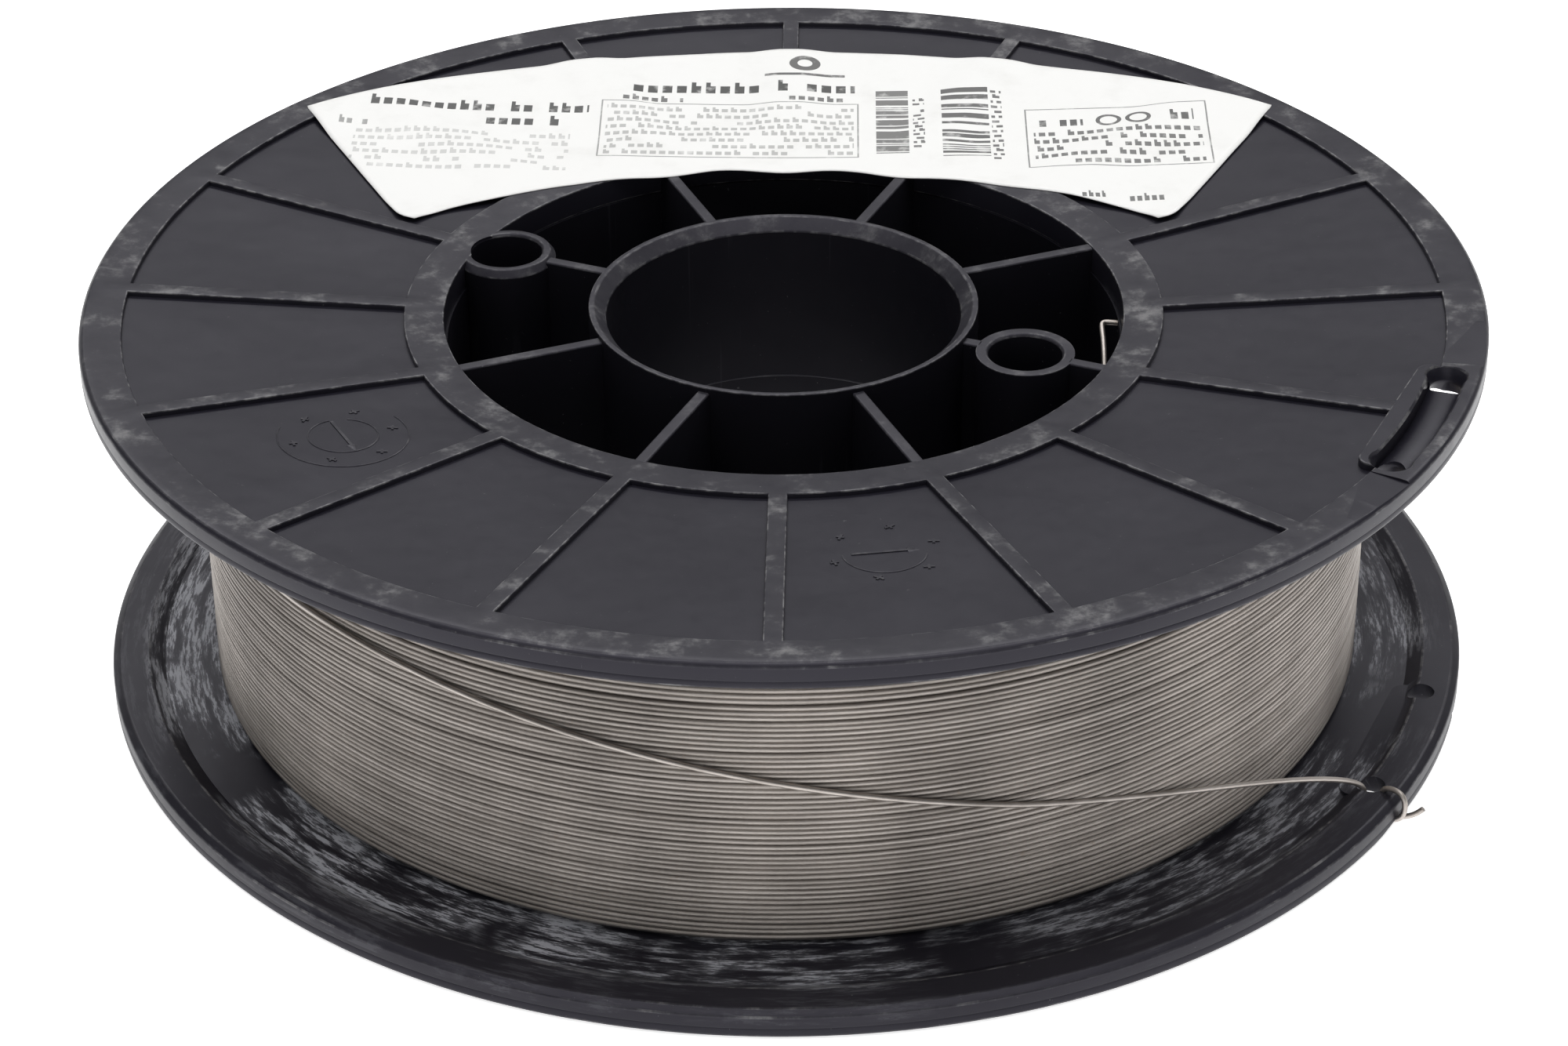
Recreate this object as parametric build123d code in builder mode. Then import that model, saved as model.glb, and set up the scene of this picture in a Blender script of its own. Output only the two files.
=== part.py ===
import os
from math import ceil, cos, pi, radians, sin, tan

from build123d import *

# A 200 mm moulded spool of welding wire, lying flat. Millimetres and degrees.
# Z is the winding axis and Z = 0 is the plane of the lower rim.
# "Depth" below is measured inwards from the nearest rim plane, so both flanges share one set of depths.

# Driving dimensions of the spool body
flange_radius = 100.0
spool_width = 57.4  # over the rims; the dished flanges leave 51.4 over the hub
rim_land_radius = 98.4  # the flat land that the spool rests on runs from here to the rim's edge
rim_edge_radius = 99.4
dish_depth = 3.0  # how far the hub ring sits below the rim
hub_ring_radius = 48.7
bore_radius = 25.5
hub_tube_wall = 2.5
drum_inner_radius = 48.4
drum_outer_radius = 51.5

# Flange details
rim_height = 4.2
rim_band_radius = 94.0
pocket_inner_radius = 54.4
pocket_depth = 0.8
rib_count = 16
rib_width = 2.6
inner_face_depth = 2.85  # depth of the winding side just inside the rim lip
inner_face_slope = 0.071
lip_foot_radius = 92.4
lip_top_radius = 94.6
collar_radius = 50.3
collar_depth = 7.0

# Hub details
web_count = 8
web_first_angle = 22.5
web_thickness = 1.8
hub_tube_depth = 2.5
web_depth = 3.2
drive_hole_radius = 5.25
outer_bush_radius = 7.25
outer_bush_offset = 44.5
outer_bush_angle = 157.5
inner_bush_radius = 7.0
inner_bush_offset = 37.0
inner_bush_angle = -22.5

# Wire-end lock on each rim: a flat boss with two holes joined by a grooved slot
lock_angle_upper = -24.0
lock_angle_lower = -22.7
lock_inner_edge = 89.3
lock_half_length = 15.0
lock_hole_radius = 2.4
lock_hole_offset = 95.2
lock_hole_angle = 7.7
lock_slot_half_width = 2.6
lock_slot_depth = 2.2
lock_crest_depth = 1.0
notch_depth = 1.4
notch_angle = 7.5  # arc over which each notch runs out to nothing

# Winding
wire_diameter = 0.8
wire_radius = wire_diameter / 2
turn_count = 62
winding_radius = 84.6
winding_end_gap = 0.15

# Free wire end
tail_start_angle = -228.0
tail_leave_angle = -57.2
tail_step_angle = 12.2
tail_clearance = 0.04

# Wire start, bent over inside the hub
start_hole_angle = 4.0
start_hole_depth = 8.2
start_hole_radius = 1.1

# Paper label on the upper flange
label_half_top = 76.0
label_half_bottom = 57.5
label_top_y = 84.2
label_top_corner_y = 61.5
label_bottom_y = 44.0
label_bottom_corner_y = 26.0
label_corner_radius = 2.5
label_thickness = 0.2

mid_plane = Plane.XY.offset(spool_width / 2)
tube_radius = bore_radius + hub_tube_wall
clear_height = spool_width + 20


def dish(radius):
    """Depth of the outer face inside the rim land."""
    return dish_depth * (rim_land_radius - radius) / (rim_land_radius - hub_ring_radius)


def inner_face(radius):
    """Depth of the winding side of a flange."""
    return inner_face_depth + inner_face_slope * (lip_foot_radius - radius)


def radial_plane(angle):
    """Upright plane through the axis: x runs outwards at the given angle, y is Z."""
    turn = radians(angle)
    return Plane(origin=(0, 0, 0), x_dir=(cos(turn), sin(turn), 0), z_dir=(sin(turn), -cos(turn), 0))


def polar_point(radius, angle, height):
    return (radius * cos(radians(angle)), radius * sin(radians(angle)), height)


def outer_bush_envelope():
    """Full-height outline of the outer bush, which the drum and the flanges are cut around."""
    with BuildPart() as envelope:
        with BuildSketch(Plane.XY.offset(-10)):
            with Locations(polar_point(outer_bush_offset, outer_bush_angle, 0)):
                Circle(outer_bush_radius)
            Circle(drum_outer_radius, mode=Mode.INTERSECT)
        extrude(amount=clear_height)
    return envelope.part


def flange(lock_angle):
    """One flange in depths, its outer face down: the turned disc, its pockets and its wire lock."""
    lock_side = polar_point(1, lock_angle, 0)
    lock_axes = Plane(origin=(0, 0, 0), x_dir=lock_side, z_dir=(0, 0, 1))

    # The lens between the dished face and the floors of the pockets, less the ribs and the lock
    with BuildPart() as pockets:
        with BuildSketch(Plane.XZ):
            with BuildLine():
                Polyline(
                    (pocket_inner_radius, -1),
                    (pocket_inner_radius, dish(pocket_inner_radius) + pocket_depth),
                    (rim_band_radius, dish(rim_band_radius) + pocket_depth),
                    (rim_band_radius, -1),
                    close=True,
                )
            make_face()
        revolve(axis=Axis.Z)
        with BuildSketch(Plane.XY.offset(-2)):
            with PolarLocations((pocket_inner_radius + rim_band_radius) / 2, rib_count):
                Rectangle(rim_band_radius - pocket_inner_radius + 10, rib_width)
        extrude(amount=10, mode=Mode.SUBTRACT)
        with BuildSketch(lock_axes.offset(-2)):
            with Locations((lock_inner_edge + 10, 0)):
                RectangleRounded(20, 2 * lock_half_length, 2)
        extrude(amount=10, mode=Mode.SUBTRACT)

    # The slot that joins the two holes, with a rounded bar along its floor
    with BuildPart() as slot:
        with BuildSketch(radial_plane(lock_angle - lock_hole_angle)):
            with BuildLine():
                near_wall = lock_hole_offset - lock_slot_half_width
                far_wall = lock_hole_offset + lock_slot_half_width
                Line((near_wall, -1), (near_wall, lock_slot_depth))
                ThreePointArc(
                    (near_wall, lock_slot_depth),
                    (lock_hole_offset, lock_crest_depth),
                    (far_wall, lock_slot_depth),
                )
                Polyline((far_wall, lock_slot_depth), (far_wall, -1), (near_wall, -1))
            make_face()
        revolve(axis=Axis.Z, revolution_arc=2 * lock_hole_angle)

    # A notch outside each hole lets the wire pass under the rim; its floor ramps back to the rim plane
    notches = []
    for side in (-1, 1):
        with BuildPart() as notch:
            for step in range(2):
                turn = lock_angle + side * (lock_hole_angle - 0.3 + step * notch_angle)
                depth = notch_depth if step == 0 else 0.02
                with BuildSketch(radial_plane(turn)):
                    with Locations((flange_radius - 1.5, depth / 2 - 1)):
                        Rectangle(9, depth + 2)
            loft(ruled=True)
        notches.append(notch.part)

    with BuildPart() as disc:
        with BuildSketch(Plane.XZ):
            with BuildLine():
                Polyline(
                    (hub_ring_radius, dish_depth),
                    (rim_land_radius, 0),
                    (rim_edge_radius, 0),
                    (flange_radius, 0.5),
                    (flange_radius, 3.5),
                    (98.9, rim_height),
                    (lip_top_radius, rim_height),
                    (lip_foot_radius, inner_face(lip_foot_radius)),
                    (collar_radius, inner_face(collar_radius)),
                    (collar_radius, collar_depth),
                    (hub_ring_radius, collar_depth),
                    close=True,
                )
            make_face()
        revolve(axis=Axis.Z)
        add(pockets.part, mode=Mode.SUBTRACT)
        with BuildSketch(lock_axes):
            with Locations((lock_inner_edge + 10, 0)):
                RectangleRounded(20, 2 * lock_half_length, 2)
            Circle(rim_edge_radius, mode=Mode.INTERSECT)
        extrude(amount=rim_height - 1.5)
        add(slot.part, mode=Mode.SUBTRACT)
        with BuildSketch(Plane.XY.offset(-1)):
            for side in (-1, 1):
                with Locations(polar_point(lock_hole_offset, lock_angle + side * lock_hole_angle, 0)):
                    Circle(lock_hole_radius)
        extrude(amount=rim_height + 2, mode=Mode.SUBTRACT)
        for notch_part in notches:
            add(notch_part, mode=Mode.SUBTRACT)
        add(outer_bush_envelope(), mode=Mode.SUBTRACT)
    return disc.part


os.makedirs("parts", exist_ok=True)

# Flanges
with BuildPart() as lower_flange:
    add(flange(lock_angle_lower))
lower_flange.part.label = "lower_flange"
export_step(lower_flange.part, "parts/lower_flange.step")

with BuildPart() as upper_flange:
    add(mirror(flange(lock_angle_upper), about=mid_plane, mode=Mode.PRIVATE))
upper_flange.part.label = "upper_flange"
export_step(upper_flange.part, "parts/upper_flange.step")

# Winding drum: a tube whose counterbored ends seat the flange collars
with BuildPart() as winding_drum:
    with BuildSketch(Plane.XZ):
        with BuildLine():
            Polyline(
                (drum_inner_radius, collar_depth),
                (collar_radius, collar_depth),
                (collar_radius, inner_face(collar_radius)),
                (drum_outer_radius, inner_face(drum_outer_radius)),
                (drum_outer_radius, spool_width / 2),
                (drum_inner_radius, spool_width / 2),
                close=True,
            )
        make_face()
    revolve(axis=Axis.Z)
    mirror(about=mid_plane)
    add(outer_bush_envelope(), mode=Mode.SUBTRACT)
    start_plane = radial_plane(start_hole_angle)
    with BuildSketch(Plane(origin=(0, 0, 0), x_dir=start_plane.y_dir, z_dir=start_plane.x_dir)):
        with Locations((spool_width - start_hole_depth, 0)):
            Circle(start_hole_radius)
    extrude(amount=drum_outer_radius + 1, mode=Mode.SUBTRACT)
winding_drum.part.label = "winding_drum"
export_step(winding_drum.part, "parts/winding_drum.step")

# Hub tube, which turns on the machine's mandrel
with BuildPart() as hub_tube:
    with BuildSketch(Plane.XY.offset(hub_tube_depth)):
        Circle(tube_radius)
        Circle(bore_radius, mode=Mode.SUBTRACT)
    extrude(amount=spool_width - 2 * hub_tube_depth)
    chamfer(hub_tube.edges().filter_by(GeomType.CIRCLE).group_by(SortBy.RADIUS)[0], length=1.1)
    chamfer(hub_tube.edges().filter_by(GeomType.CIRCLE).group_by(SortBy.RADIUS)[-1], length=0.4)
hub_tube.part.label = "hub_tube"
export_step(hub_tube.part, "parts/hub_tube.step")

# Drive bushes: the outer one takes a machine's standard peg, the inner one a smaller pitch circle
with BuildPart() as drive_bush_outer:
    add(outer_bush_envelope())
    with BuildSketch(Plane.XY.offset(dish_depth)):
        Circle(drum_outer_radius + 1)
    extrude(amount=spool_width - 2 * dish_depth, mode=Mode.INTERSECT)
    with Locations(polar_point(outer_bush_offset, outer_bush_angle, spool_width / 2)):
        Cylinder(drive_hole_radius, clear_height, mode=Mode.SUBTRACT)
    bush_mouths = drive_bush_outer.edges().filter_by(GeomType.CIRCLE)
    chamfer(bush_mouths.filter_by(lambda edge: abs(edge.radius - drive_hole_radius) < 0.01), length=0.8)
drive_bush_outer.part.label = "drive_bush_outer"
export_step(drive_bush_outer.part, "parts/drive_bush_outer.step")

with BuildPart() as drive_bush_inner:
    with BuildSketch(Plane.XY.offset(web_depth)):
        with Locations(polar_point(inner_bush_offset, inner_bush_angle, 0)):
            Circle(inner_bush_radius)
            Circle(drive_hole_radius, mode=Mode.SUBTRACT)
    extrude(amount=spool_width - 2 * web_depth)
drive_bush_inner.part.label = "drive_bush_inner"
export_step(drive_bush_inner.part, "parts/drive_bush_inner.step")

# Webs between the hub tube and the drum; a bush that stands in a web cuts it
for number in range(web_count):
    web_angle = web_first_angle + number * 360 / web_count
    with BuildPart() as hub_web:
        with BuildSketch(Plane.XY.offset(web_depth)):
            with PolarLocations((tube_radius + drum_inner_radius) / 2, 1, web_angle):
                Rectangle(drum_outer_radius - bore_radius, web_thickness)
            Circle(drum_inner_radius, mode=Mode.INTERSECT)
            Circle(tube_radius, mode=Mode.SUBTRACT)
            with Locations(polar_point(outer_bush_offset, outer_bush_angle, 0)):
                Circle(outer_bush_radius, mode=Mode.SUBTRACT)
            with Locations(polar_point(inner_bush_offset, inner_bush_angle, 0)):
                Circle(inner_bush_radius, mode=Mode.SUBTRACT)
        extrude(amount=spool_width - 2 * web_depth)
    hub_web.part.label = f"hub_web_{number + 1}"
    export_step(hub_web.part, f"parts/{hub_web.part.label}.step")

# Winding: the buried layers as one ring, and the last layer as a ring with one ridge for each turn
pack_radius = winding_radius - wire_diameter
with BuildPart() as wire_pack:
    with BuildSketch(Plane.XZ):
        with BuildLine():
            Polyline(
                (drum_outer_radius, inner_face(drum_outer_radius) + winding_end_gap),
                (pack_radius, inner_face(pack_radius) + winding_end_gap),
                (pack_radius, spool_width / 2),
                (drum_outer_radius, spool_width / 2),
                close=True,
            )
        make_face()
    revolve(axis=Axis.Z)
    mirror(about=mid_plane)
wire_pack.part.label = "wire_pack"
export_step(wire_pack.part, "parts/wire_pack.step")

layer_foot = inner_face(pack_radius) + winding_end_gap
turn_pitch = (spool_width - 2 * layer_foot) / turn_count
valley_radius = winding_radius - wire_radius
ridge_points = [(valley_radius, layer_foot)]
for turn in range(turn_count):
    ridge_points.append((winding_radius, layer_foot + (turn + 0.5) * turn_pitch))
    ridge_points.append((valley_radius, layer_foot + (turn + 1) * turn_pitch))
with BuildPart() as wire_outer_layer:
    with BuildSketch(Plane.XZ):
        with BuildLine():
            Polyline(
                *ridge_points,
                (pack_radius, spool_width - layer_foot),
                (pack_radius, layer_foot),
                close=True,
            )
        make_face()
    revolve(axis=Axis.Z)
wire_outer_layer.part.label = "wire_outer_layer"
export_step(wire_outer_layer.part, "parts/wire_outer_layer.step")


def tail_height(angle):
    """Height of the free end on the winding: nearly level at first, then a lengthening slope."""
    level = 38.3
    fall_from = -129.0
    if angle < fall_from:
        return level + 0.02 * (fall_from - angle)
    fallen = angle - fall_from
    return level - 0.145 * fallen - 0.00198 * fallen**2


def arc_corners(points, radii):
    """Radii that fit the straight runs between the points, no larger than the ones asked for."""
    fitted = []
    for before, corner, after, wanted in zip(points, points[1:], points[2:], radii):
        run_in = Vector(*corner) - Vector(*before)
        run_out = Vector(*after) - Vector(*corner)
        half_turn = radians(run_in.get_angle(run_out)) / 2
        largest = 0.45 * min(run_in.length, run_out.length) / tan(half_turn)
        fitted.append(min(wanted, largest))
    return fitted


def wire_along(points, radii, section_radius):
    """A wire swept along straight runs joined by tangent arcs."""
    with BuildPart() as wire:
        with BuildLine():
            route = FilletPolyline(*points, radius=radii)
        with BuildSketch(Plane(origin=route @ 0, z_dir=route % 0)):
            Circle(section_radius)
        sweep()
    swept = pi * section_radius**2 * route.length
    print(f"wire: {route.length:.1f} mm long, {wire.part.volume / swept:.4f} of its section by its length")
    print("  bend radii:", ", ".join(f"{radius:.2f}" for radius in radii))
    return wire.part


# Free end: round the winding, across to the second lock hole of the lower rim and twice through it
tail_radius = winding_radius + wire_radius + tail_clearance
tail_turn = tail_leave_angle - tail_start_angle
tail_steps = ceil(tail_turn / tail_step_angle)
half_step = tail_turn / tail_steps / 2
tail_points = [polar_point(tail_radius, tail_start_angle, tail_height(tail_start_angle))]
for step in range(tail_steps):
    corner_angle = tail_start_angle + (2 * step + 1) * half_step
    corner_radius = tail_radius / cos(radians(half_step))
    tail_points.append(polar_point(corner_radius, corner_angle, tail_height(corner_angle)))
tail_radii = [tail_radius] * tail_steps

lock_hole = lock_angle_lower - lock_hole_angle
for radius, turn, height, bend in (
    (94.2, -0.7, 6.9, 3.0),
    (95.3, -0.95, 0.62, 1.2),
    (101.0, -1.0, 0.62, 1.1),
    (101.0, -0.75, 5.2, 1.1),
    (96.9, -0.35, 5.0, 1.1),
    (96.9, -0.2, 0.62, 0.9),
    (101.4, -0.2, 0.62, 1.6),
    (104.0, 0.2, 2.2, 0.0),
):
    tail_points.append(polar_point(radius, lock_hole + turn, height))
    if bend:
        tail_radii.append(bend)

with BuildPart() as wire_tail:
    add(wire_along(tail_points, arc_corners(tail_points, tail_radii), wire_radius))
wire_tail.part.label = "wire_tail"
export_step(wire_tail.part, "parts/wire_tail.step")

# Inner end: from the first layer through a hole in the drum, bent back along the drum wall
start_height = spool_width - start_hole_depth
start_points = [
    polar_point(drum_outer_radius - 0.2, start_hole_angle, start_height),
    polar_point(46.3, start_hole_angle + 0.9, start_height + 0.1),
    polar_point(46.4, -7.4, start_height - 2.4),
]
with BuildPart() as wire_start:
    add(wire_along(start_points, arc_corners(start_points, [1.3]), wire_radius))
wire_start.part.label = "wire_start"
export_step(wire_start.part, "parts/wire_start.step")

# Label: a thin sheet that lies on the rib tops and the hub ring
with BuildPart() as label:
    with BuildSketch(Plane.XZ):
        with BuildLine():
            Polyline(
                (bore_radius, spool_width - dish(bore_radius)),
                (rim_land_radius, spool_width),
                (rim_land_radius, spool_width + label_thickness),
                (bore_radius, spool_width - dish(bore_radius) + label_thickness),
                close=True,
            )
        make_face()
    revolve(axis=Axis.Z)
    with BuildSketch(Plane.XY.offset(spool_width - 10)):
        with BuildLine():
            ThreePointArc(
                (-label_half_top, label_top_corner_y),
                (0, label_top_y),
                (label_half_top, label_top_corner_y),
            )
            Line((label_half_top, label_top_corner_y), (label_half_bottom, label_bottom_corner_y))
            ThreePointArc(
                (label_half_bottom, label_bottom_corner_y),
                (0, label_bottom_y),
                (-label_half_bottom, label_bottom_corner_y),
            )
            Line((-label_half_bottom, label_bottom_corner_y), (-label_half_top, label_top_corner_y))
        label_outline = make_face()
        fillet(label_outline.vertices(), radius=label_corner_radius)
    extrude(amount=20, mode=Mode.INTERSECT)
label.part.label = "label"
export_step(label.part, "parts/label.step")
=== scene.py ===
import math

import bmesh
import bpy
from mathutils import Matrix, Vector, noise


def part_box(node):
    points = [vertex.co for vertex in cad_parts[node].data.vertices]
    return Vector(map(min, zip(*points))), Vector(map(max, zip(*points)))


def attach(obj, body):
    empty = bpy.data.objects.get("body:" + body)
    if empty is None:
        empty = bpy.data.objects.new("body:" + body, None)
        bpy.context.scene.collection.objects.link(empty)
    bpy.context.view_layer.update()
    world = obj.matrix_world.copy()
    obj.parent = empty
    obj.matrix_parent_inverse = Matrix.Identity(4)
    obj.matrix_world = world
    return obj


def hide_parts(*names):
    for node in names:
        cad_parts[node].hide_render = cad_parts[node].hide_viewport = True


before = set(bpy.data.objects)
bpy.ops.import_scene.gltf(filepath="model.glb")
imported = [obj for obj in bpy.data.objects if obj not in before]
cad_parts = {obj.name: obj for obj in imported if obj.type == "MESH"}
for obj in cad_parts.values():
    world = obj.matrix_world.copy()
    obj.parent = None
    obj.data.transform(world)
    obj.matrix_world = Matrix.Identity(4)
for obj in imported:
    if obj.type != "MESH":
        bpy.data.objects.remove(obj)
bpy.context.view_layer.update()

# Everything is drawn in millimetres and brought to metres as each piece is finished.
# "Depth" is measured inwards from the nearest rim plane, as both flanges share one set of depths.
mm = 0.001
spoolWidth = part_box("upper_flange")[1].z / mm
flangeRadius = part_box("lower_flange")[1].x / mm
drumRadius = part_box("winding_drum")[1].x / mm
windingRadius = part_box("wire_outer_layer")[1].x / mm
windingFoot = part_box("wire_outer_layer")[0].z / mm
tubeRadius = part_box("hub_tube")[1].x / mm
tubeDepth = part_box("hub_tube")[0].z / mm
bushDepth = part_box("drive_bush_outer")[0].z / mm
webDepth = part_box("hub_web_1")[0].z / mm
wireRadius = 0.4


def polarPoint(radius, angle, height=0.0):
    turn = math.radians(angle)
    return Vector((radius * math.cos(turn), radius * math.sin(turn), height))


def eased(share):
    # from 0 to 1 with a soft start and end
    share = min(max(share, 0.0), 1.0)
    return share * share * (3 - 2 * share)


# shader helpers: each adds nodes to a material's tree and gives back a socket

def newMaterial(name):
    material = bpy.data.materials.new(name)
    material.use_nodes = True
    return material, material.node_tree, material.node_tree.nodes["Principled BSDF"]


def fillInputs(tree, node, values):
    # each value is a socket to link from, or a plain value
    for key, value in values.items():
        if isinstance(value, bpy.types.NodeSocket):
            tree.links.new(value, node.inputs[key])
        else:
            node.inputs[key].default_value = value


def addNode(tree, kind, inputs=(), **settings):
    node = tree.nodes.new(kind)
    for key, value in settings.items():
        setattr(node, key, value)
    fillInputs(tree, node, dict(inputs))
    return node


def mathNode(tree, operation, *values, clamp=False):
    inputs = dict(enumerate(values))
    return addNode(tree, "ShaderNodeMath", inputs, operation=operation, use_clamp=clamp).outputs[0]


def product(tree, *parts, clamp=False):
    result = parts[0]
    for part in parts[1:]:
        result = mathNode(tree, "MULTIPLY", result, part, clamp=clamp)
    return result


def separate(tree, vector):
    return addNode(tree, "ShaderNodeSeparateXYZ", {0: vector}).outputs


def combined(tree, *parts):
    return addNode(tree, "ShaderNodeCombineXYZ", dict(enumerate(parts))).outputs[0]


def vectorLength(tree, vector):
    return addNode(tree, "ShaderNodeVectorMath", {0: vector}, operation="LENGTH").outputs["Value"]


def scaled(tree, vector, factor):
    return addNode(tree, "ShaderNodeVectorMath", {0: vector, "Scale": factor}, operation="SCALE").outputs[0]


def ramp(tree, value, low, high):
    # 0 below low and 1 above high, smooth between
    inputs = {"Value": value, "From Min": low, "From Max": high}
    return addNode(tree, "ShaderNodeMapRange", inputs, interpolation_type="SMOOTHSTEP").outputs[0]


def spread(tree, value, atLow, atHigh, low=0.0, high=1.0):
    # atLow where the value is low and atHigh where it is high, in a straight line between
    inputs = {"Value": value, "From Min": low, "From Max": high, "To Min": atLow, "To Max": atHigh}
    return addNode(tree, "ShaderNodeMapRange", inputs).outputs[0]


def mixColor(tree, factor, first, second):
    # the mix node has hidden sockets for numbers and vectors, so its colour sockets are 6 and 7
    return addNode(tree, "ShaderNodeMix", {0: factor, 6: first, 7: second}, data_type="RGBA").outputs[2]


def grey(value, tint=(1.0, 1.0, 1.0)):
    return (value * tint[0], value * tint[1], value * tint[2], 1.0)


def noiseNode(tree, vector, scale, detail=4.0, roughness=0.55):
    inputs = {"Vector": vector, "Scale": scale, "Detail": detail, "Roughness": roughness}
    return addNode(tree, "ShaderNodeTexNoise", inputs).outputs[0]


def bumpNode(tree, height, strength, distance, under=None):
    inputs = {"Height": height, "Strength": strength, "Distance": distance}
    if under:
        inputs["Normal"] = under
    return addNode(tree, "ShaderNodeBump", inputs).outputs[0]


def millimetres(tree):
    return scaled(tree, tree.nodes.new("ShaderNodeTexCoord").outputs["Object"], 1.0 / mm)


def flatPlace(tree, point):
    x, y, _ = separate(tree, point)
    return combined(tree, x, y)


def ringNoise(tree, point, stretch, detail, roughness):
    # marks that follow a turn; stretch is how fast they change round the axis, outwards and up
    around, outwards, up = stretch
    flat = flatPlace(tree, point)
    heading = addNode(tree, "ShaderNodeVectorMath", {0: flat}, operation="NORMALIZE").outputs[0]
    headingX, headingY, _ = separate(tree, heading)
    out = mathNode(tree, "ADD", product(tree, vectorLength(tree, flat), outwards),
                   product(tree, separate(tree, point)[2], up))
    place = combined(tree, product(tree, headingX, around), product(tree, headingY, around), out)
    return noiseNode(tree, place, 1.0, detail, roughness)


plasticLook = {
    "base": grey(0.011, (0.95, 0.90, 1.35)),
    "light": grey(0.016, (0.96, 0.92, 1.28)),
    "raised": grey(0.028, (0.98, 0.95, 1.15)),
    "scuff": grey(0.18, (1.0, 0.99, 1.0)),
    "smear": grey(0.44, (0.96, 0.98, 1.06)),
    "shine": 0.30,
    "shineTint": (0.90, 0.87, 1.0, 1.0),
    "glossRange": (-0.06, 0.08),
    "rubbedGain": 1.1,
    "speckGain": 0.35,
    "dragGain": 0.40,
    "hazeGain": 0.26,
    "dustGloss": 0.25,
    "grainBump": (0.12, 0.00005),
    "broadBump": (0.30, 0.0010),
    # scale to the millimetre, detail and roughness of each noise
    "noise": {
        "broad": (0.035, 3.0, 0.55),
        "mottle": (0.6, 5.0, 0.6),
        "grain": (5.0, 3.0, 0.6),
        "patches": (0.11, 6.0, 0.68),
        "specks": (1.9, 2.0, 0.5),
        "cloud": (0.040, 4.0, 0.6),
    },
    # stretch, detail and roughness of each noise that follows a turn
    "ringNoise": {
        "drag": ((26.0, 0.0, 0.02), 2.0, 0.5),
        "streak": ((6.0, 0.62, 0.3), 6.0, 0.68),
        "fleck": ((26.0, 2.3, 0.9), 5.0, 0.72),
    },
    # the two values that each effect grows between
    "fade": {
        "light": (0.35, 0.7),
        "raised": (0.0, 0.3),
        "edge": (0.5, 1.0),
        "drag": (0.66, 0.71),
        "raisedTone": (0.25, 0.62),
        "rubbed": (0.50, 0.68),
        "rubbedMottle": (0.30, 0.62),
        "edgeMottle": (0.42, 0.68),
        "specks": (0.74, 0.78),
        "streak": (0.45, 0.58),
        "fleck": (0.44, 0.59),
        "haze": (0.38, 0.72),
        "cloud": (0.41, 0.57),
        "rim": (92.0, 96.5),
    },
    # the face that the wire has run against, and how its dust grows to one side
    "dustFoot": 2.3,
    "dustInner": 80.0,
    "rimClean": 0.93,
    "dustSide": {"atLow": 2.2, "atHigh": 0.66, "low": -80.0, "high": 30.0},
}


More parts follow.
